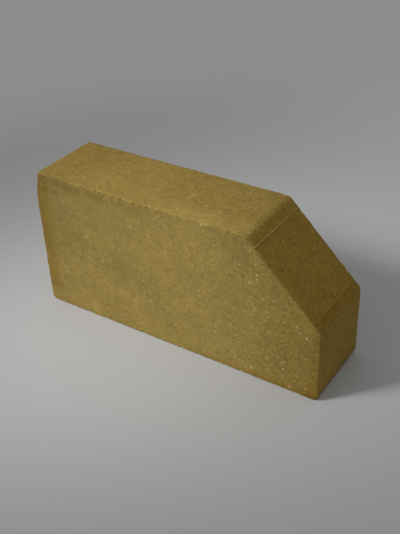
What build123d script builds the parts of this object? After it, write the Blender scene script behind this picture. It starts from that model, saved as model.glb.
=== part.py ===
from build123d import *
import math
import os

# Canted facing brick: one pressed solid whose plan has one corner cut off at a slant.
# It stands on its long edge. X runs along its length, Z up across its width and Y through its thickness,
# which is the way it was pressed. The origin is on the floor, under the middle of the length and of the
# thickness.

# Standard single format, in millimetres
length = 250.0
width = 120.0
thickness = 65.0

# What the cant takes off the upper edge and off the right-hand end
cant_run = 60.0
cant_rise = 60.0

# The mould rounds the corners of the plan, and the arrises of both bed faces are slightly worn
square_corner_radius = 5.0
cant_corner_radius = 8.0
arris_radius = 0.8

# Low fins across the cant, pressed into the joints beside the mould's lining plate
fin_height = 0.5
fin_breadth = 1.4

# Flat of the cant between a rounded corner and the fin's middle line
head_fin_margin = 7.5
foot_fin_margin = 4.6

# Corners of the plan as (X, Z), before they are rounded
half_length = length / 2
foot_left = (-half_length, 0)
foot_right = (half_length, 0)
cant_foot = (half_length, width - cant_rise)
cant_head = (half_length - cant_run, width)
top_left = (-half_length, width)

# The cant's own line, from its head down to its foot, and the turn of the plan at each end of it
cant_length = math.hypot(cant_run, cant_rise)
head_turn = math.atan2(cant_rise, cant_run)
foot_turn = math.pi / 2 - head_turn


def pressed_body():
    """The plan, pressed to the brick's thickness, with the arrises of its two bed faces eased."""
    plan = FilletPolyline(
        foot_left,
        foot_right,
        cant_foot,
        cant_head,
        top_left,
        radius=[
            square_corner_radius,
            square_corner_radius,
            cant_corner_radius,
            cant_corner_radius,
            square_corner_radius,
        ],
        close=True,
    )
    body = extrude(Plane.XZ * make_face(plan), amount=thickness / 2, both=True)
    bed_faces = body.faces().filter_by(Axis.Y)
    return fillet(bed_faces.edges(), arris_radius)


def cant_plane():
    """The cant's face: local x runs down the cant from its middle, and local z points out of it."""
    middle = ((cant_foot[0] + cant_head[0]) / 2, 0, (cant_foot[1] + cant_head[1]) / 2)
    return Plane(origin=middle, x_dir=(cant_run, 0, -cant_rise), z_dir=(cant_rise, 0, cant_run))


def joint_fin(distance):
    """A low round-backed fin across the cant, at this distance down it from its middle."""
    crown_radius = (fin_breadth**2 / 4 + fin_height**2) / (2 * fin_height)
    fin = Cylinder(crown_radius, thickness - 2 * arris_radius, rotation=(90, 0, 0))
    return cant_plane() * Pos(distance, 0, fin_height - crown_radius) * fin


def fin_distances():
    """Where the two fins lie: clear of the rounded corner at the cant's head and at its foot."""
    head_rounding = cant_corner_radius * math.tan(head_turn / 2)
    foot_rounding = cant_corner_radius * math.tan(foot_turn / 2)
    return (
        -cant_length / 2 + head_rounding + head_fin_margin,
        cant_length / 2 - foot_rounding - foot_fin_margin,
    )


brick = pressed_body()
for fin_distance in fin_distances():
    brick += joint_fin(fin_distance)

os.makedirs("parts", exist_ok=True)
export_step(brick, "parts/brick.step")
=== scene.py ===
import math
import random

import bmesh
import bpy
from bpy.props import FloatProperty, FloatVectorProperty, IntProperty, PointerProperty
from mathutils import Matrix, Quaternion, Vector, kdtree, noise


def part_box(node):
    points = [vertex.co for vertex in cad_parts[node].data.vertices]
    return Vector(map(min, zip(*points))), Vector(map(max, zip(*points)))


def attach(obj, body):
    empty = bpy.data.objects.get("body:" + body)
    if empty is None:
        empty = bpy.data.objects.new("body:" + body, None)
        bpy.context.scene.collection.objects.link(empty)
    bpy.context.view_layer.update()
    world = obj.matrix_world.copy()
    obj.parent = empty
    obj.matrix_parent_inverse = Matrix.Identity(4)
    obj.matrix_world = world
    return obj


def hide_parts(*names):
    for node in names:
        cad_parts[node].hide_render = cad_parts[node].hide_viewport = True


bl_info = {
    "name": "Canted Facing Brick",
    "version": (1, 0, 0),
    "blender": (4, 5, 0),
    "location": "3D View > Sidebar > Brick",
    "description": "Dresses a pressed facing brick with a canted corner and sets a plain studio around it",
    "category": "Add Mesh",
}

MM = 0.001
NODE = "brick"
BODY = "root"

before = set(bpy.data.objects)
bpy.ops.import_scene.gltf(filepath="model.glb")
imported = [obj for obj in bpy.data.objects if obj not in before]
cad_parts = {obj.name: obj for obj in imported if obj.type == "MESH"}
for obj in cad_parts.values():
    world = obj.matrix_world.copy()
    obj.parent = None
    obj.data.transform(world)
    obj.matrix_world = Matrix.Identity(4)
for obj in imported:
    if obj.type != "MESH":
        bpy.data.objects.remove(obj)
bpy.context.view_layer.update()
LOW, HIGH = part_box(NODE)

# Where the lamp and the camera are aimed and where the camera stands, in millimetres, the way from the brick
# to the lamp, and the camera's roll in degrees
LAMP_AIM = (-28, 4, 47)
LAMP_WAY = (-0.493, -0.627, 0.603)
CAMERA_AIM = (6.1, 0.0, 56.8)
CAMERA_EYE = (303.4, -431.8, 406.2)
CAMERA_ROLL = -2.401

# Long side of the picture that the camera is set up for, in pixels
PICTURE_LONG_SIDE = 534

# Half of the floor's side, in metres, so that its edge lies far off in any view
FLOOR_REACH = 30.0

# Fineness of the mesh: lengths that count as nothing, faces round a corner and an arris, and how near to a
# point a cut may pass, as a share of a cell and of a fin's breadth
NO_LENGTH = 0.01 * MM
WELD = 0.02 * MM
CORNER_SEGMENTS = 8
ARRIS_SEGMENTS = 3
CELL_SNAP = 0.15
FIN_SNAP = 0.05

# Where the cant is cut for a fin, in breadths of the fin from its middle, and how squarely a face or a point
# has to face out of the cant to carry a fin
FIN_CUTS = (-0.5, -0.32, 0.0, 0.32, 0.5, 0.85, 1.3)
FIN_FACE = 0.999
FIN_POINT = 0.99

# Noise by what it makes uneven: its size in millimetres and its seed, which shifts it by this step
WAVES = {
    "drift": (30, 1),
    "patches": (12, 2),
    "borders": (9, 3),
    "fins": (7, 4),
    "faces": (38, 5),
    "sand": (2.6, 6),
    "wear": (7, 7),
    "fine_wear": (2.4, 8),
    "fine_borders": (3, 9),
    "chip": (6, 10),
}
SEED_STEP = (17.3, 5.9, 11.1)

# What the mesh stores at each point for the material to read: the finish, and a shade that holds painted
# light and shade as well as the brick's own tone
FINISH_AND_SHADE_LAYERS = ("grit", "skin", "rubbed", "stain", "shade")

# How squarely a point faces a way when it starts to count as on that face, and when it wholly does
WIDE_FACE = (0.5, 0.9)
NARROW_FACE = (0.8, 0.95)

# How far noise shifts the borders of marks, in millimetres, and how far down the pale streak runs
DRIFT_SHIFT = 14
LEFT_SHIFT = 1.5
RIGHT_SHIFT = 1.2
STREAK_SHIFT = 2
STREAK_DOWN = 86

# How rough the chip is, as a share of its depth
CHIP_ROUGHNESS = 0.05

# A nick's full depth reaches over this share of its radius, and it opens the sand by this much
NICK_CORE = 0.3
NICK_OPENS = 0.5

# Nicks at random along all arrises: how many, their seed, radii and depths in millimetres and how much shade
# is painted into them
NICKS = 150
NICK_SEED = 7
NICK_RADII = (0.9, 1.7)
NICK_DEPTHS = (0.15, 0.5)
NICK_SHADE = 0.1

# Grains broken out of the upper front arris, and pale ones that show beside them: how deep they are, how much
# shade is painted into the broken ones and how much paler the pale ones are, and where they lie, in
# millimetres across and down
BROKEN_GRAINS = (0.8, 0.28, ((62, 0.8), (66, 1.6), (73, 1.2), (79, 1.4), (86, 1.2), (98, 1.0), (110, 1.2)))
PALE_GRAINS = (0.1, -0.3, ((64, 2.0), (72, 2.8), (74, 5.9), (81, 2.6), (92, 1.0)))
GRAIN_RADII = (1.5, 2.1)

# Nicks down the right front arris: how many, how far up they reach, radii and deepest in millimetres, shares
# of that depth and the shade painted into them, where a negative one is a paler grain
RIGHT_NICKS = 16
RIGHT_NICKS_UP = (4, 56)
RIGHT_NICK_RADII = (0.9, 1.8)
RIGHT_NICK_DEPTH = 0.3
RIGHT_NICK_SHARES = (0.4, 1.0)
RIGHT_NICK_SHADES = (0.2, 0.15, -0.1)

# Ramps of the dark strip under the upper edge of the front, in millimetres down and across: where it starts
# and stops, where it deepens and where it dies out. Then its strength before it deepens, what it gains there,
# how ragged its head is beside its foot, and how much it darkens and rubs the front.
STRIP_STARTS = (-1, 4.5)
STRIP_STOPS = (15, 5)
STRIP_DEEPENS = (12, 35)
STRIP_DIES = (150, 40)
STRIP_LEFT = 0.6
STRIP_GAIN = 0.35
STRIP_HEAD_RAGGED = 0.3
STRIP_SHADE = 0.25
STRIP_RUBBING = 0.2

# The ridge scraped in that strip: how far down it runs, and its ramps, in millimetres, how much it lightens
# the front, and what share of the sinking it is spared
RIDGE_DOWN = 9.0
RIDGE_SIDE = (1.5, 0.3)
RIDGE_STARTS = (4, 7)
RIDGE_STOPS = (31, 24)
RIDGE_SHADE = -0.16
RIDGE_SPARED = 0.9

# The smooth skin on the front: its middle across and down and half its breadth and height, in millimetres,
# its border, in those halves, and how patchy that is
SKIN_MIDDLE = (44, 23)
SKIN_HALF = (34, 15)
SKIN_BORDER = (1.3, 0.4)
SKIN_PATCHINESS = 0.4

# How open the sand is on the narrow faces, and what the top, the end and the cant add to that
SIDES_OPENNESS = 0.45
TOP_OPENS = 0.05
END_OPENS = -0.4
CANT_OPENS = 0.25

# Marks on the faces. Each is an amount and the ramps it fades along: what is measured, in millimetres, where
# the mark is gone and where it is full. Shades darken, or lighten where they are negative. Some shades are
# painted light and shade, and a comment above each of them says so.
FRONT_OPENNESS = (
    (0.3,),
    (0.7, ("drifting", 126, 212)),
    (-0.8, ("ragged_across", 16, 7)),
)
BACK_OPENNESS = (
    (0.75,),
    (-0.35, ("drifting", 60, 190)),
)
RIM_OPENNESS = ((0.3, ("rim", 2.0, 0.6)),)
FRONT_SHADES = (
    (0.06, ("across", 60, 5)),
    (0.06, ("across", 60, 5), ("down", 75, 45)),
    (0.10, ("ragged_across", 16, 7), ("up", 6, 20)),
    (0.04, ("ragged_across", 16, 7), ("up", 6, 20), ("down", 35, 50)),
    (0.06, ("across", 6, 3), ("down", 55, 40)),
    (0.10, ("across", 34, 12), ("down", 9.8, 10.8), ("down", 18, 13)),
    (0.10, ("across", 130, 70), ("down", 90, 60)),
    # A painted pool of light, lighter over the middle of the front
    (-0.09, ("across", 95, 125), ("across", 195, 165), ("down", 90, 75)),
    (0.07, ("across", 85, 120), ("across", 190, 160), ("down", 6, 2.5)),
    (-0.06, ("across", 150, 110), ("up", 16, 9)),
    # Painted shade along the foot of the front, where it meets the floor
    (0.06, ("up", 5, 2.5)),
    (0.03, ("up", 6, 2.5), ("across", 175, 195)),
    (-0.05, ("streak", 4.5, 0.5), ("across", 62, 80), ("across", 138, 118)),
    # Darker over the lower right: partly the brick's own tone and partly painted shade
    (0.12, ("across", 165, 240), ("down", 55, 95)),
    (0.05, ("ragged_right", 11, 3)),
    (0.09, ("right", 8, 4), ("up", 26, 34)),
    (0.14, ("right", 15, 9), ("up", 9, 5)),
)
TOP_SHADES = (
    (0.12, ("across", 75, 15)),
    (-0.28, ("into", 26, 4), ("across", 80, 135)),
    (0.07, ("into", 38, 58), ("across", 60, 160)),
)
CANT_SHADES = (
    (0.13, ("slide", 68, 82)),
    (-0.04, ("slide", 70, 40)),
    (-0.08, ("into", 14, 2), ("slide", 78, 50)),
    # A painted highlight where the rounding at the cant's head catches the light
    (-0.12, ("slide", 14, 3), ("into", 50, 10)),
)
# Painted shade: the end is darker towards its foot, where it meets the floor
END_SHADES = ((0.18, ("up", 12, 2)),)
UPPER_ARRIS_SHADES = (
    (0.18, ("upper_arris", 2.8, 0.3), ("across", 75, 20)),
    (0.05, ("upper_arris", 2.8, 0.3), ("across", 45, 66)),
)
FRONT_RUBBING = (
    (0.6, ("ragged_across", 16, 7), ("up", 6, 20)),
    (0.6, ("ragged_up", 8, 3), ("across", 120, 210)),
    (0.35, ("across", 180, 235)),
    (0.35, ("ragged_right", 11, 3)),
)
MOST_FRONT_RUBBING = 0.75
END_CLEAN = 0.3
TOP_CLEAN = (
    (0.6,),
    (0.25, ("into", 26, 4), ("across", 80, 135)),
)
RIM_CLEAN = ((0.7, ("rim", 2.0, 0.6)),)
FRONT_STAIN = (
    (0.25, ("ragged_up", 9, 1), ("across", 185, 245)),
    (0.45, ("ragged_up", 13, 6), ("right", 14, 6)),
)
END_STAIN = ((0.5, ("ragged_up", 14, 4), ("into", 9, 2)),)
CANT_STAIN = ((0.3, ("slide", 68, 82)),)

# Each fin of the cant, head first: how full and how pale it is, each at the front and at the back, the
# paleness partly rubbed clean and partly a painted highlight. Then what of its height stands everywhere, what
# comes and goes, and how much faster than its paleness its rubbing goes.
FINS = (((1.0, 1.0), (0.33, 0.09)), ((0.5, 0.1), (0.03, 0.0)))
FIN_STANDS = 0.85
FIN_UNEVENNESS = 0.35
FIN_CLEAN = 4

# The painted shadow under a fin: its ramps, in half breadths below the fin's middle, and how dark it is
LEE_STARTS = (0.6, 1.6)
LEE_STOPS = (2.6, 1.8)
LEE_SHADE = 0.15

# Ramps of the wear along the arrises, in millimetres from the arris, and near the right-hand end, which is
# spared a share of it. Then the wear that is the same all along, and the share of the finer wear.
RIM_WEAR = (1.8, 0.2)
END_WEAR = (6, 3)
END_SPARED = 0.5
EVEN_WEAR = 0.25
FINE_WEAR = 0.5

# The sand's relief where the sand is wholly closed, and the least that it ever is, as shares of its depth
CLOSED_RELIEF = 0.4
LEAST_RELIEF = 0.1

# The sharpest fold that a nick may leave, and how often the sharper ones are smoothed
SHARPEST_FOLD = math.radians(70)
FOLD_PASSES = 4

# What of the noise makes the body's denser patches and its mottling, and how bright the mottling is
CLOUD_RANGE = (0.35, 0.65)
MOTTLE_RANGE = (0.25, 0.75)
MOTTLE_TONES = (0.93, 1.07)

# How far grains of the fine sand differ in tone where the sand is closed and where it is open
SAND_SWINGS = (0.36, 0.56)

# A speck's least reach as a share of its most, how far its full strength reaches in cells, and the power that
# makes strong specks rare
SPECK_LEAST = 0.4
SPECK_CORE = 0.05
SPECK_RARITY = 2.0

# Relief of the material: how the fine sand rises from its cells' points, and the strength and depth of it all
SAND_RISE = -0.5
BUMP_STRENGTH = 0.5
BUMP_DEPTH = 0.15 * MM

# Numbers of a Mix node's sockets when it mixes colours
MIX_FACTOR = 0
MIX_A = 6
MIX_B = 7
MIX_RESULT = 2


def linear(code):
    """Turns an sRGB hex colour into the linear red, green and blue that a shader takes."""
    parts = [int(code[i : i + 2], 16) / 255 for i in (0, 2, 4)]
    return [p / 12.92 if p <= 0.04045 else ((p + 0.055) / 1.055) ** 2.4 for p in parts]


def length_property(name, description, millimetres):
    """A length that the user can change, with its default in millimetres."""
    return FloatProperty(
        name=name,
        description=description,
        default=millimetres * MM,
        min=0.0,
        precision=5,
        unit="LENGTH",
    )


def colour_property(name, description, code):
    """A colour that the user can change, with its default as an sRGB hex value."""
    return FloatVectorProperty(
        name=name,
        description=description,
        default=linear(code),
        min=0.0,
        max=1.0,
        subtype="COLOR",
    )


class BrickSizes(bpy.types.PropertyGroup):
    """Sizes of the brick's plan, edges and surface relief."""

    cant_run: length_property("Cant run", "What the cant takes off the upper edge", 60)
    cant_rise: length_property("Cant rise", "What the cant takes off the right-hand end", 60)
    square_radius: length_property("Square corner radius", "Rounding of the plan's square corners", 5)
    cant_radius: length_property("Cant corner radius", "Rounding of the plan at both ends of the cant", 8)
    arris_radius: length_property("Arris radius", "Rounding of the edges of both bed faces", 0.8)
    fin_height: length_property("Fin height", "How far the fins stand out of the cant", 0.5)
    fin_breadth: length_property("Fin breadth", "Breadth of a fin across its foot", 1.4)
    head_fin_margin: length_property("Head fin margin", "From the rounding at the cant's head to a fin", 7.5)
    foot_fin_margin: length_property("Foot fin margin", "From the rounding at the cant's foot to a fin", 4.6)
    strip_depth: length_property("Strip depth", "How far the strip under the upper edge is sunk", 0.15)
    chip_across: length_property("Chip across", "What the chipped corner loses of the upper edge", 5.0)
    chip_down: length_property("Chip down", "What the chipped corner loses of the left edge", 23)
    chip_into: length_property("Chip into", "How far the chip reaches into the thickness", 12)
    unevenness: length_property("Unevenness", "Depth of the faces' slow unevenness", 0.15)
    sand_relief: length_property("Sand relief", "Depth of the relief that the pressed sand leaves", 0.07)
    arris_wear: length_property("Arris wear", "Deepest wear along an arris, apart from nicks", 0.55)
    cant_cells: IntProperty(
        name="Cant cells",
        description="Mesh cells over the cant's run, which sets the mesh's fineness",
        default=52,
        min=4,
    )


class BrickFinish(bpy.types.PropertyGroup):
    """Colours of the pressed sand and sizes of what shows in it."""

    ochre: colour_property("Ochre", "Body of the brick", "907B42")
    dark_ochre: colour_property("Dark ochre", "Denser, darker patches of the body", "88743E")
    rubbed: colour_property("Rubbed", "Faces and edges that the mould has rubbed", "8E7331")
    stain: colour_property("Stain", "Warm stain along the lower edges", "926C26")
    skin: colour_property("Skin", "Smooth skin that the press leaves", "877641")
    grain: colour_property("Grain", "Pale sand grains in the surface", "C8B47E")
    pore: colour_property("Pore", "Open pores between grains", "4E3E1B")
    # Pressing sand is about half a millimetre. It is drawn as coarse as it needs to show in the picture.
    sand_size: length_property("Sand size", "From one grain of the fine sand to the next", 1.7)
    warp_size: length_property("Warp size", "Size of the waves that make the grains uneven", 2.4)
    warp_depth: length_property("Warp depth", "How far those waves shift the grains", 1.2)
    grain_spacing: length_property("Grain spacing", "From one pale grain to the next", 2.4)
    pebble_spacing: length_property("Pebble spacing", "From one coarse grain to the next", 4.5)
    pore_spacing: length_property("Pore spacing", "From one pore to the next", 2.6)
    mottle_size: length_property("Mottle size", "Size of the mottling", 7)
    cloud_size: length_property("Cloud size", "Size of the slow changes of colour", 40)


class StageSettings(bpy.types.PropertyGroup):
    """Floor, light and camera."""

    floor: colour_property("Floor", "Colour of the plain floor under the lamp", "B7B7B7")
    far_floor: colour_property("Far floor", "Colour of the plain floor beyond the lamp's pool", "D4D4D4")
    backdrop: colour_property("Backdrop", "What the camera sees past the floor", "8B8B8B")
    pool_radius: length_property("Pool radius", "How far round the brick the lamp's pool reaches", 200)
    pool_fade: length_property("Pool fade", "Over what length the floor turns from near to far", 400)
    sky: colour_property("Sky", "Colour of the even light from all round", "FFFFFF")
    sky_strength: FloatProperty(name="Sky strength", description="Level of the even light", default=0.395)
    key_power: FloatProperty(
        name="Key power",
        description="Power of the large soft lamp",
        default=0.415,
        subtype="POWER",
        unit="POWER",
    )
    key_size: length_property("Key size", "Side of the large soft lamp", 260)
    key_distance: length_property("Key distance", "From the brick to the large soft lamp", 970)
    key_spread: FloatProperty(
        name="Key spread",
        description="How widely the large soft lamp fans out",
        default=math.radians(33.6),
        subtype="ANGLE",
        unit="ROTATION",
    )
    focal_pixels: FloatProperty(
        name="Focal length",
        description="Focal length of the camera in pixels of the picture",
        default=819.7,
        subtype="PIXEL",
    )


def smooth_step(low, high, value):
    """Rises smoothly from 0 at low to 1 at high, or falls where low is above high."""
    share = min(1.0, max(0.0, (value - low) / (high - low)))
    return share * share * (3 - 2 * share)


def wander(point, name):
    """Smooth noise from -1 to 1, of the size and seed that go with a name."""
    size, seed = WAVES[name]
    return noise.noise(point / (size * MM) + Vector([seed * step for step in SEED_STEP]))


def plan_corners(sizes):
    """Corners of the plan as (x, z, what its rounding takes off each side), from the lower left one round."""
    cant_angle = math.atan2(sizes.cant_rise, sizes.cant_run)
    foot = sizes.cant_radius * math.tan((math.pi / 2 - cant_angle) / 2)
    head = sizes.cant_radius * math.tan(cant_angle / 2)
    return [
        (LOW.x, LOW.z, sizes.square_radius),
        (HIGH.x, LOW.z, sizes.square_radius),
        (HIGH.x, HIGH.z - sizes.cant_rise, foot),
        (HIGH.x - sizes.cant_run, HIGH.z, head),
        (LOW.x, HIGH.z, sizes.square_radius),
    ]


class Cant:
    """The cant seen along the thickness: its head, the way down it, the way out of it and its fins."""

    def __init__(self, sizes):
        run, rise = sizes.cant_run, sizes.cant_rise
        self.head = Vector((HIGH.x - run, 0, HIGH.z))
        self.length = math.hypot(run, rise)
        self.down = Vector((run, 0, -rise)) / self.length
        self.out = Vector((rise, 0, run)) / self.length
        corners = plan_corners(sizes)
        foot_rounding, head_rounding = corners[2][2], corners[3][2]
        self.fins = (
            head_rounding + sizes.head_fin_margin,
            self.length - foot_rounding - sizes.foot_fin_margin,
        )

    def depth(self, point):
        """How far a point lies inside the cant's plane."""
        return (self.head - point).dot(self.out)

    def along(self, point):
        """How far down the cant a point lies."""
        return (point - self.head).dot(self.down)


def inset(point, cant):
    """How far a point lies inside the plan's outline."""
    return min(
        point.x - LOW.x,
        HIGH.x - point.x,
        point.z - LOW.z,
        HIGH.z - point.z,
        cant.depth(point),
    )


def arris_distance(point, cant):
    """How far a point of the surface lies from the nearest rim of a bed face."""
    return min(point.y - LOW.y, HIGH.y - point.y) + max(0.0, inset(point, cant))


def round_edges(bm, edges, offset, segments):
    """Rounds edges off, from this far to each side of them."""
    bmesh.ops.bevel(
        bm,
        geom=edges,
        offset=offset,
        offset_type="OFFSET",
        segments=segments,
        profile=0.5,
        affect="EDGES",
        material=-1,
    )


def press_body(sizes):
    """The plan, pressed to the thickness: rounded in plan, and eased at the rims of both bed faces."""
    bm = bmesh.new()
    corners = plan_corners(sizes)
    plan = bm.faces.new([bm.verts.new((x, LOW.y, z)) for x, z, _ in corners])
    pressed = bmesh.ops.extrude_face_region(bm, geom=[plan])["geom"]
    moved = [v for v in pressed if isinstance(v, bmesh.types.BMVert)]
    bmesh.ops.translate(bm, verts=moved, vec=(0, HIGH.y - LOW.y, 0))
    bmesh.ops.recalc_face_normals(bm, faces=bm.faces)
    for x, z, rounding in corners:
        corner = Vector((x, 0, z))
        edges = [e for e in bm.edges if all((v.co - corner).xz.length < NO_LENGTH for v in e.verts)]
        round_edges(bm, edges, rounding, CORNER_SEGMENTS)
    rims = [e for e in bm.edges if abs(e.verts[0].co.y - e.verts[1].co.y) < NO_LENGTH]
    round_edges(bm, rims, sizes.arris_radius, ARRIS_SEGMENTS)
    return bm


def slice_all(bm, normal, points, snap):
    """Cuts the whole mesh by planes with this normal through these points."""
    for point in points:
        geometry = bm.verts[:] + bm.edges[:] + bm.faces[:]
        bmesh.ops.bisect_plane(bm, geom=geometry, dist=snap, plane_co=point, plane_no=normal)


def slice_faces(bm, faces, normal, points, snap):
    """Cuts these faces alone by planes with this normal through these points."""
    for point in points:
        geometry = set(faces)
        for face in faces:
            geometry.update(face.edges)
            geometry.update(face.verts)
        cut = bmesh.ops.bisect_plane(bm, geom=list(geometry), dist=snap, plane_co=point, plane_no=normal)
        faces = [f for f in cut["geom"] if isinstance(f, bmesh.types.BMFace)]


def cut_cells(bm, sizes):
    """Cuts the pressed body into small cells, fine enough to carry the relief."""
    cell = sizes.cant_run / sizes.cant_cells
    snap = cell * CELL_SNAP
    count = math.ceil((HIGH.y - LOW.y) / cell)
    steps = [LOW.y + (HIGH.y - LOW.y) * i / count for i in range(2, count - 1)]
    slice_all(bm, (0, 1, 0), [(0, y, 0) for y in steps], snap)
    count = int((HIGH.x - LOW.x) / cell)
    slice_all(bm, (1, 0, 0), [(HIGH.x - cell * i, 0, 0) for i in range(1, count)], snap)
    count = int((HIGH.z - LOW.z) / cell)
    slice_all(bm, (0, 0, 1), [(0, 0, HIGH.z - cell * i) for i in range(1, count)], snap)


def cut_fins(bm, sizes, cant):
    """Cuts close lines across the cant where the fins stand."""
    facing = [f for f in bm.faces if f.normal.dot(cant.out) > FIN_FACE]
    places = [fin + sizes.fin_breadth * share for fin in cant.fins for share in FIN_CUTS]
    points = [cant.head + cant.down * place for place in places]
    slice_faces(bm, facing, cant.down, points, sizes.fin_breadth * FIN_SNAP)


def chip_corner(bm, sizes):
    """Knocks off the upper left corner of the front: a flat chip, longest down the left edge."""
    slope = Vector((1 / sizes.chip_across, 1 / sizes.chip_into, 1 / sizes.chip_down))
    for vert in bm.verts:
        point = vert.co
        inside = Vector((point.x - LOW.x, point.y - LOW.y, HIGH.z - point.z))
        outside = 1 - inside.dot(slope) + CHIP_ROUGHNESS * wander(point, "chip")
        if outside > 0:
            step = slope * outside / slope.length_squared
            vert.co = point + Vector((step.x, step.y, -step.z))


class Spot:
    """Where a point lies, in millimetres from the sides and down the cant, and which faces it belongs to."""

    def __init__(self, vert, cant):
        point = vert.co
        self.across = (point.x - LOW.x) / MM
        self.right = (HIGH.x - point.x) / MM
        self.down = (HIGH.z - point.z) / MM
        self.up = (point.z - LOW.z) / MM
        self.into = (point.y - LOW.y) / MM
        self.slide = cant.along(point) / MM
        self.rim = arris_distance(point, cant) / MM
        self.front = smooth_step(*WIDE_FACE, -vert.normal.y)
        self.back = smooth_step(*WIDE_FACE, vert.normal.y)
        self.top = smooth_step(*NARROW_FACE, vert.normal.z)
        self.end = smooth_step(*NARROW_FACE, vert.normal.x)
        self.cant = smooth_step(*NARROW_FACE, vert.normal.dot(cant.out))
        self.sides = 1 - self.front - self.back
        self.drift = wander(point, "drift")
        self.patchy = wander(point, "patches")
        self.ragged = wander(point, "borders") + 0.5 * wander(point, "fine_borders")
        self.drifting = self.across + DRIFT_SHIFT * self.drift
        self.ragged_across = self.across + LEFT_SHIFT * self.ragged
        self.ragged_right = self.right + RIGHT_SHIFT * self.ragged
        self.ragged_up = self.up + self.ragged
        self.upper_arris = self.into + self.down
        self.streak = abs(self.down - STREAK_DOWN + STREAK_SHIFT * self.drift)


def marked(spot, marks):
    """Adds up what marks come to at a spot, each faded along its ramps."""
    total = 0.0
    for amount, *ramps in marks:
        for measure, gone, full in ramps:
            amount *= smooth_step(gone, full, getattr(spot, measure))
        total += amount
    return total


def strip_share(across, down, ragged):
    """The dark strip under the upper edge of the front, which dies out to the right."""
    head = smooth_step(*STRIP_STARTS, down + STRIP_HEAD_RAGGED * ragged)
    strip = head * smooth_step(*STRIP_STOPS, down + ragged)
    strength = STRIP_LEFT + STRIP_GAIN * smooth_step(*STRIP_DEEPENS, across)
    return strip * strength * smooth_step(*STRIP_DIES, across)


def ridge_share(across, down):
    """The short pale ridge that the mould scraped in the dark strip."""
    line = smooth_step(*RIDGE_SIDE, abs(down - RIDGE_DOWN))
    return line * smooth_step(*RIDGE_STARTS, across) * smooth_step(*RIDGE_STOPS, across)


def openness(spot):
    """How open the sand is: closed at the left of the front, open at its right and along the rims."""
    front = spot.front * marked(spot, FRONT_OPENNESS)
    back = spot.back * marked(spot, BACK_OPENNESS)
    sides = SIDES_OPENNESS + TOP_OPENS * spot.top + END_OPENS * spot.end + CANT_OPENS * spot.cant
    return min(1.0, front + back + spot.sides * sides + marked(spot, RIM_OPENNESS))


def skin_share(spot):
    """The smooth skin that the press left on the upper left of the front."""
    across = (spot.across - SKIN_MIDDLE[0]) / SKIN_HALF[0]
    down = (spot.down - SKIN_MIDDLE[1]) / SKIN_HALF[1]
    return spot.front * smooth_step(*SKIN_BORDER, math.hypot(across, down) + SKIN_PATCHINESS * spot.patchy)


def rubbed_share(spot):
    """Where the mould rubbed: the edges of the front and back, and most of the narrow faces."""
    bands = min(MOST_FRONT_RUBBING, marked(spot, FRONT_RUBBING))
    bands += STRIP_RUBBING * strip_share(spot.across, spot.down, spot.ragged)
    narrow = 1 - spot.top * marked(spot, TOP_CLEAN) - END_CLEAN * spot.end
    narrow *= 1 - marked(spot, RIM_CLEAN)
    return min(1.0, (spot.front + spot.back) * bands + spot.sides * narrow)


def stain_share(spot):
    """The warm stain along the foot of the front, of the end and of the cant."""
    front = spot.front * marked(spot, FRONT_STAIN)
    return front + spot.end * marked(spot, END_STAIN) + spot.cant * marked(spot, CANT_STAIN)


def shade_of(spot):
    """How bright a spot is beside its colours: less where marks darken it, most of them on the front. Some
    marks are painted light and shade.
    """
    front = marked(spot, FRONT_SHADES)
    front += STRIP_SHADE * strip_share(spot.across, spot.down, spot.ragged)
    front += RIDGE_SHADE * ridge_share(spot.across, spot.down)
    narrow = spot.top * marked(spot, TOP_SHADES) + spot.end * marked(spot, END_SHADES)
    narrow += spot.cant * marked(spot, CANT_SHADES)
    return 1 - spot.front * front - narrow - marked(spot, UPPER_ARRIS_SHADES)


def mark_finish_and_shade(bm, cant):
    """Stores at each point how open the sand is, its skin, how rubbed and stained it is, and how bright,
    painted light and shade included.
    """
    grit, skin, rubbed, stain, shade = (bm.verts.layers.float.new(name) for name in FINISH_AND_SHADE_LAYERS)
    for vert in bm.verts:
        spot = Spot(vert, cant)
        vert[grit] = openness(spot)
        vert[skin] = skin_share(spot)
        vert[rubbed] = rubbed_share(spot)
        vert[stain] = stain_share(spot)
        vert[shade] = shade_of(spot)


def raise_fins(bm, sizes, cant):
    """Raises the fins on the cant: the upper one pale, partly rubbed clean and partly a painted highlight,
    the lower one worn, each with a painted shadow under it.
    """
    rubbed = bm.verts.layers.float["rubbed"]
    shade = bm.verts.layers.float["shade"]
    for vert in bm.verts:
        if vert.normal.dot(cant.out) < FIN_POINT:
            continue
        place = cant.along(vert.co)
        near = smooth_step(HIGH.y, LOW.y, vert.co.y)
        uneven = FIN_STANDS + FIN_UNEVENNESS * wander(vert.co, "fins")
        for fin, fin_looks in zip(cant.fins, FINS):
            fullness, clean_and_highlight = (back + (front - back) * near for front, back in fin_looks)
            share = (place - fin) / (sizes.fin_breadth / 2)
            crest = max(0.0, 1 - share**2)
            lee = smooth_step(*LEE_STARTS, share) * smooth_step(*LEE_STOPS, share)
            vert.co += cant.out * sizes.fin_height * fullness * uneven * crest
            vert[rubbed] *= 1 - min(1.0, FIN_CLEAN * clean_and_highlight) * crest
            # A painted highlight on the crest, and a painted shadow just below the fin
            vert[shade] += clean_and_highlight * uneven * crest**2 - LEE_SHADE * (0.5 + 0.5 * near) * lee


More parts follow.
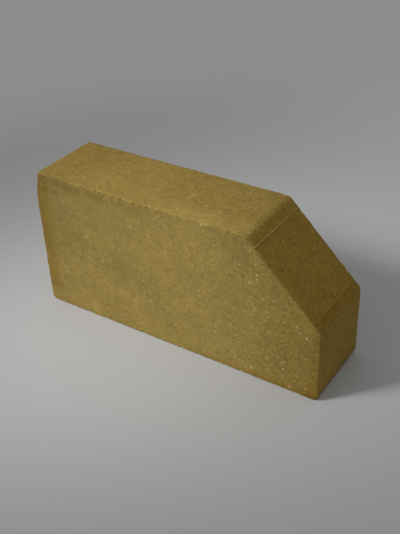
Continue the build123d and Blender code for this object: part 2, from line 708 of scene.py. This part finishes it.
def wear_surface(bm, sizes, cant):
    """Sinks the surface a little everywhere: slow unevenness, the sand's relief and worn arrises."""
    grit = bm.verts.layers.float["grit"]
    for vert in bm.verts:
        point = vert.co
        slow = 0.5 + 0.5 * wander(point, "faces")
        sand = 0.5 + 0.5 * wander(point, "sand")
        rim = smooth_step(*RIM_WEAR, arris_distance(point, cant) / MM)
        wear = max(0.0, EVEN_WEAR + wander(point, "wear") + FINE_WEAR * wander(point, "fine_wear"))
        wear *= 1 - END_SPARED * smooth_step(*END_WEAR, (HIGH.x - point.x) / MM)
        depth = sizes.unevenness * slow * (1 - rim)
        depth += sizes.sand_relief * sand * max(LEAST_RELIEF, CLOSED_RELIEF + vert[grit])
        depth += sizes.arris_wear * rim * min(1.0, wear)
        if -vert.normal.y > WIDE_FACE[1]:
            across = (point.x - LOW.x) / MM
            down = (HIGH.z - point.z) / MM
            depth += sizes.strip_depth * strip_share(across, down, 0) * (1 - rim)
            depth *= 1 - RIDGE_SPARED * ridge_share(across, down)
        vert.co = point - vert.normal * depth


def arris_point(sizes, draw):
    """A point at random on the rim of a bed face."""
    corners = [Vector((x, 0, z)) for x, z, _ in plan_corners(sizes)]
    sides = list(zip(corners, corners[1:] + corners[:1]))
    start, end = draw.choices(sides, weights=[(b - a).length for a, b in sides])[0]
    point = start.lerp(end, draw.random())
    point.y = draw.choice((LOW.y, HIGH.y))
    return point


def all_nicks(sizes):
    """Where grains are broken out of the arrises: a point, a radius, a depth and the shade painted into it,
    or its paleness where that is negative.
    """
    draw = random.Random(NICK_SEED)
    nicks = []
    for _ in range(NICKS):
        centre = arris_point(sizes, draw)
        radius = draw.uniform(*NICK_RADII) * MM
        nicks.append((centre, radius, draw.uniform(*NICK_DEPTHS) * MM, NICK_SHADE))
    for depth, darker, grains in (BROKEN_GRAINS, PALE_GRAINS):
        for across, down in grains:
            centre = Vector((LOW.x + across * MM, LOW.y, HIGH.z - down * MM))
            nicks.append((centre, draw.uniform(*GRAIN_RADII) * MM, depth * MM, darker))
    foot, head = (Vector((HIGH.x, LOW.y, LOW.z + up * MM)) for up in RIGHT_NICKS_UP)
    for _ in range(RIGHT_NICKS):
        centre = foot.lerp(head, draw.random())
        radius = draw.uniform(*RIGHT_NICK_RADII) * MM
        depth = draw.uniform(*RIGHT_NICK_SHARES) * RIGHT_NICK_DEPTH * MM
        nicks.append((centre, radius, depth, draw.choice(RIGHT_NICK_SHADES)))
    return nicks


def nick_arrises(bm, sizes):
    """Breaks the grains out of the arrises, opens the sand there, paints shade into the nicks and lightens
    the pale grains.
    """
    grit = bm.verts.layers.float["grit"]
    shade = bm.verts.layers.float["shade"]
    tree = kdtree.KDTree(len(bm.verts))
    for index, vert in enumerate(bm.verts):
        tree.insert(vert.co, index)
    tree.balance()
    bm.verts.ensure_lookup_table()
    for centre, radius, depth, darker in all_nicks(sizes):
        for _, index, distance in tree.find_range(centre, radius):
            vert = bm.verts[index]
            share = smooth_step(radius, NICK_CORE * radius, distance)
            vert.co -= vert.normal * depth * share
            vert[grit] = min(1.0, vert[grit] + NICK_OPENS * share)
            # Painted shade in the nick, or paleness where the grain is a pale one
            vert[shade] -= darker * share


def ease_folds(bm):
    """Smooths the few points where a nick has folded the surface sharply."""
    for _ in range(FOLD_PASSES):
        bm.normal_update()
        folds = [e for e in bm.edges if e.calc_face_angle() > SHARPEST_FOLD]
        points = list(dict.fromkeys(vert for edge in folds for vert in edge.verts))
        bmesh.ops.smooth_vert(
            bm,
            verts=points,
            factor=0.5,
            use_axis_x=True,
            use_axis_y=True,
            use_axis_z=True,
        )


def add_node(tree, kind, inputs=None, **settings):
    """Adds a node with these settings. An input that is another node's output is linked, any other is set."""
    node = tree.nodes.new(kind)
    for name, value in settings.items():
        setattr(node, name, value)
    for socket, source in (inputs or {}).items():
        if isinstance(source, bpy.types.NodeSocket):
            tree.links.new(source, node.inputs[socket])
        else:
            node.inputs[socket].default_value = source
    return node


def add_math(tree, operation, *values):
    """Adds a Math node with these values and gives its result."""
    return add_node(tree, "ShaderNodeMath", dict(enumerate(values)), operation=operation).outputs[0]


def add_map(tree, value, source=(0.0, 1.0), target=(0.0, 1.0), **settings):
    """Adds a Map Range node, which takes a value from one range to another, and gives its result."""
    inputs = {
        "Value": value,
        "From Min": source[0],
        "From Max": source[1],
        "To Min": target[0],
        "To Max": target[1],
    }
    return add_node(tree, "ShaderNodeMapRange", inputs, **settings).outputs[0]


def add_mix(tree, share, base, colour):
    """Adds a Mix node, which lays a share of a colour over a base, and gives its result."""
    inputs = {MIX_FACTOR: share, MIX_A: base, MIX_B: (*colour, 1)}
    return add_node(tree, "ShaderNodeMix", inputs, data_type="RGBA").outputs[MIX_RESULT]


def add_noise(tree, place, size):
    """Adds a Noise Texture node with waves of this size and gives its outputs."""
    inputs = {"Vector": place, "Scale": 1 / size, "Detail": 1.0}
    return add_node(tree, "ShaderNodeTexNoise", inputs).outputs


def add_cells(tree, place, spacing):
    """Adds a Voronoi Texture node and gives the distance from a cell's point and the cell's three draws."""
    cells = add_node(tree, "ShaderNodeTexVoronoi", {"Vector": place, "Scale": 1 / spacing}).outputs
    draws = add_node(tree, "ShaderNodeSeparateColor", {"Color": cells["Color"]}).outputs
    return cells["Distance"], draws


def body_colour(tree, finish, clouds, skin, rubbed, stain):
    """The ochre body with its denser patches, its skin, its rubbed places and its stain."""
    colour = (*finish.dark_ochre, 1)
    for share, layer in (
        (add_map(tree, clouds, CLOUD_RANGE), finish.ochre),
        (skin, finish.skin),
        (rubbed, finish.rubbed),
        (stain, finish.stain),
    ):
        colour = add_mix(tree, share, colour, layer)
    return colour


def body_tone(tree, mottle, draws, grit, shade):
    """How bright the body is: mottled, changing from grain to grain, more so where the sand is open, and
    following the stored shade, which holds painted light and shade.
    """
    mottling = add_map(tree, mottle, MOTTLE_RANGE, MOTTLE_TONES)
    depth = add_map(tree, grit, target=SAND_SWINGS, clamp=False)
    swing = add_math(tree, "SUBTRACT", draws[0], 0.5)
    swing = add_math(tree, "MULTIPLY", swing, draws[1])
    sand = add_math(tree, "MULTIPLY_ADD", swing, depth, 1.0)
    tone = add_math(tree, "MULTIPLY", mottling, sand)
    return add_math(tree, "MULTIPLY", tone, shade)


def speck_mask(tree, place, grit, spacing, bare, strength, reach):
    """Where specks of one kind show and how strongly.

    Specks lie one to a cell. The share of bare cells and the strength are given where the sand is closed and
    where it is open, and the reach of a speck in cells.
    """
    distance, draws = add_cells(tree, place, spacing)
    least = add_map(tree, grit, target=bare)
    level = add_map(tree, grit, target=strength)
    there = add_math(tree, "GREATER_THAN", draws[0], least)
    border = add_map(tree, draws[2], target=(SPECK_LEAST * reach, reach))
    speck = add_map(tree, distance, (border, SPECK_CORE), (0.0, level), interpolation_type="SMOOTHSTEP")
    vigour = add_math(tree, "POWER", draws[1], SPECK_RARITY)
    speck = add_math(tree, "MULTIPLY", speck, vigour)
    return add_math(tree, "MULTIPLY", there, speck)


def pressed_sand(finish):
    """Sand and lime pressed dry in a steel mould.

    It gives the eye a flat, matt ochre body with fine sand in it, a scatter of pale grains and dark pores,
    more of both where the surface is open, a smooth greyer skin where the press closed it, and a deeper,
    yellower colour on the faces and edges that the mould rubbed.
    """
    material = bpy.data.materials.new("pressed_sand_brick")
    material.use_nodes = True
    tree = material.node_tree
    tree.nodes.clear()
    place = add_node(tree, "ShaderNodeTexCoord").outputs["Object"]
    grit, skin, rubbed, stain, shade = (
        add_node(tree, "ShaderNodeAttribute", attribute_name=name).outputs["Fac"] for name in FINISH_AND_SHADE_LAYERS
    )
    clouds = add_noise(tree, place, finish.cloud_size)[0]
    mottle = add_noise(tree, place, finish.mottle_size)[0]
    waves = add_noise(tree, place, finish.warp_size)["Color"]
    uneven = add_node(
        tree,
        "ShaderNodeVectorMath",
        {0: waves, 1: (finish.warp_depth,) * 3, 2: place},
        operation="MULTIPLY_ADD",
    ).outputs["Vector"]
    distance, draws = add_cells(tree, uneven, finish.sand_size)
    body = body_colour(tree, finish, clouds, skin, rubbed, stain)
    # The tone follows the stored shade, which holds painted light and shade as well as the brick's own tone
    tone = body_tone(tree, mottle, draws, grit, shade)
    surface = add_node(
        tree, "ShaderNodeVectorMath", {0: body, "Scale": tone}, operation="SCALE"
    ).outputs["Vector"]
    height = add_math(tree, "MULTIPLY", distance, SAND_RISE)
    # Pale grains, coarse grains and pores: spacing, bare cells, strength, reach, colour and rise
    for spacing, bare, strength, reach, colour, rise in (
        (finish.grain_spacing, (0.80, 0.45), (0.17, 0.34), 0.50, finish.grain, 0.4),
        (finish.pebble_spacing, (0.90, 0.50), (0.27, 0.68), 0.42, finish.grain, 0.8),
        (finish.pore_spacing, (0.85, 0.50), (0.38, 0.76), 0.50, finish.pore, -1.5),
    ):
        mask = speck_mask(tree, uneven, grit, spacing, bare, strength, reach)
        surface = add_mix(tree, mask, surface, colour)
        height = add_math(tree, "MULTIPLY_ADD", mask, rise, height)
    bump = add_node(
        tree, "ShaderNodeBump", {"Strength": BUMP_STRENGTH, "Distance": BUMP_DEPTH, "Height": height}
    ).outputs["Normal"]
    shader = add_node(
        tree,
        "ShaderNodeBsdfPrincipled",
        {"Base Color": surface, "Roughness": 0.95, "IOR": 1.5, "Specular IOR Level": 0.1, "Normal": bump},
    ).outputs["BSDF"]
    add_node(tree, "ShaderNodeOutputMaterial", {"Surface": shader})
    return material


class BRICK_OT_press(bpy.types.Operator):
    """Makes the brick's dressed mesh and its material"""

    bl_idname = "brick.press"
    bl_label = "Press the Brick"

    def execute(self, context):
        sizes = context.scene.brick_sizes
        cant = Cant(sizes)
        bm = press_body(sizes)
        cut_cells(bm, sizes)
        bm.normal_update()
        cut_fins(bm, sizes, cant)
        chip_corner(bm, sizes)
        bmesh.ops.remove_doubles(bm, verts=bm.verts, dist=WELD)
        bm.normal_update()
        mark_finish_and_shade(bm, cant)
        raise_fins(bm, sizes, cant)
        wear_surface(bm, sizes, cant)
        nick_arrises(bm, sizes)
        ease_folds(bm)
        for face in bm.faces:
            face.smooth = True
        mesh = bpy.data.meshes.new("pressed_brick")
        bm.to_mesh(mesh)
        bm.free()
        mesh.materials.append(pressed_sand(context.scene.brick_finish))
        brick = bpy.data.objects.new("pressed_brick", mesh)
        context.scene.collection.objects.link(brick)
        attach(brick, BODY)
        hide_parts(NODE)
        return {"FINISHED"}


def matt_board(stage):
    """Smooth matt board: plain pale grey, paler beyond the lamp's pool, so that the ground looks even."""
    material = bpy.data.materials.new("matt_board")
    material.use_nodes = True
    tree = material.node_tree
    tree.nodes.clear()
    place = add_node(tree, "ShaderNodeTexCoord").outputs["Object"]
    reach = add_node(tree, "ShaderNodeVectorMath", {0: place}, operation="LENGTH").outputs["Value"]
    fading = (stage.pool_radius, stage.pool_radius + stage.pool_fade)
    far = add_map(tree, reach, fading, interpolation_type="SMOOTHSTEP")
    colour = add_mix(tree, far, (*stage.floor, 1), stage.far_floor)
    shader = add_node(
        tree,
        "ShaderNodeBsdfPrincipled",
        {"Base Color": colour, "Roughness": 0.9, "Specular IOR Level": 0.2},
    ).outputs["BSDF"]
    add_node(tree, "ShaderNodeOutputMaterial", {"Surface": shader})
    return material


def studio_world(stage):
    """Even light from all round. The camera sees the far floor's tone instead, so that no horizon shows."""
    world = bpy.data.worlds.new("studio")
    world.use_nodes = True
    tree = world.node_tree
    tree.nodes.clear()
    light = add_node(
        tree, "ShaderNodeBackground", {"Color": (*stage.sky, 1), "Strength": stage.sky_strength}
    ).outputs[0]
    seen = add_node(tree, "ShaderNodeBackground", {"Color": (*stage.backdrop, 1)}).outputs[0]
    straight = add_node(tree, "ShaderNodeLightPath").outputs["Is Camera Ray"]
    shown = add_node(tree, "ShaderNodeMixShader", {0: straight, 1: light, 2: seen}).outputs[0]
    add_node(tree, "ShaderNodeOutputWorld", {"Surface": shown})
    return world


def lay_floor(scene, stage):
    """Lays the floor under the brick."""
    bm = bmesh.new()
    bmesh.ops.create_grid(bm, x_segments=1, y_segments=1, size=FLOOR_REACH)
    mesh = bpy.data.meshes.new("floor")
    bm.to_mesh(mesh)
    bm.free()
    mesh.materials.append(matt_board(stage))
    floor = bpy.data.objects.new("floor", mesh)
    scene.collection.objects.link(floor)


def hang_lamp(scene, stage):
    """Hangs the large soft lamp before the brick, above and to its left."""
    lamp = bpy.data.lights.new("key", "AREA")
    lamp.size = stage.key_size
    lamp.energy = stage.key_power
    lamp.spread = stage.key_spread
    key = bpy.data.objects.new("key", lamp)
    aim = Vector(LAMP_AIM) * MM
    key.location = aim + Vector(LAMP_WAY).normalized() * stage.key_distance
    key.rotation_mode = "QUATERNION"
    key.rotation_quaternion = (aim - key.location).to_track_quat("-Z", "Y")
    scene.collection.objects.link(key)


def stand_camera(scene, stage):
    """Stands the camera before the brick, above and to its right."""
    camera = bpy.data.cameras.new("camera")
    camera.lens = stage.focal_pixels * camera.sensor_width / PICTURE_LONG_SIDE
    view = bpy.data.objects.new("camera", camera)
    eye = Vector(CAMERA_EYE) * MM
    aim = Vector(CAMERA_AIM) * MM
    view.location = eye
    view.rotation_mode = "QUATERNION"
    level = (aim - eye).to_track_quat("-Z", "Y")
    view.rotation_quaternion = level @ Quaternion((0, 0, 1), math.radians(CAMERA_ROLL))
    scene.collection.objects.link(view)
    scene.camera = view


class BRICK_OT_stage(bpy.types.Operator):
    """Makes the floor, the lights and the camera"""

    bl_idname = "brick.stage"
    bl_label = "Set the Stage"

    def execute(self, context):
        scene = context.scene
        stage = scene.brick_stage
        lay_floor(scene, stage)
        scene.world = studio_world(stage)
        hang_lamp(scene, stage)
        stand_camera(scene, stage)
        scene.view_settings.view_transform = "Standard"
        return {"FINISHED"}


class BRICK_PT_sidebar(bpy.types.Panel):
    """Lists the brick's sizes and finish, the stage's settings and the operators that make them."""

    bl_label = "Canted Facing Brick"
    bl_idname = "BRICK_PT_sidebar"
    bl_space_type = "VIEW_3D"
    bl_region_type = "UI"
    bl_category = "Brick"

    def draw(self, context):
        scene = context.scene
        for group, operator in (
            (scene.brick_sizes, None),
            (scene.brick_finish, "brick.press"),
            (scene.brick_stage, "brick.stage"),
        ):
            column = self.layout.column()
            for name in group.__annotations__:
                column.prop(group, name)
            if operator:
                column.operator(operator)


CLASSES = (BrickSizes, BrickFinish, StageSettings, BRICK_OT_press, BRICK_OT_stage, BRICK_PT_sidebar)


def register():
    for cls in CLASSES:
        bpy.utils.register_class(cls)
    bpy.types.Scene.brick_sizes = PointerProperty(type=BrickSizes)
    bpy.types.Scene.brick_finish = PointerProperty(type=BrickFinish)
    bpy.types.Scene.brick_stage = PointerProperty(type=StageSettings)


def unregister():
    del bpy.types.Scene.brick_stage
    del bpy.types.Scene.brick_finish
    del bpy.types.Scene.brick_sizes
    for cls in reversed(CLASSES):
        bpy.utils.unregister_class(cls)


def main():
    register()
    bpy.ops.brick.press()
    bpy.ops.brick.stage()


if __name__ == "__main__":
    main()
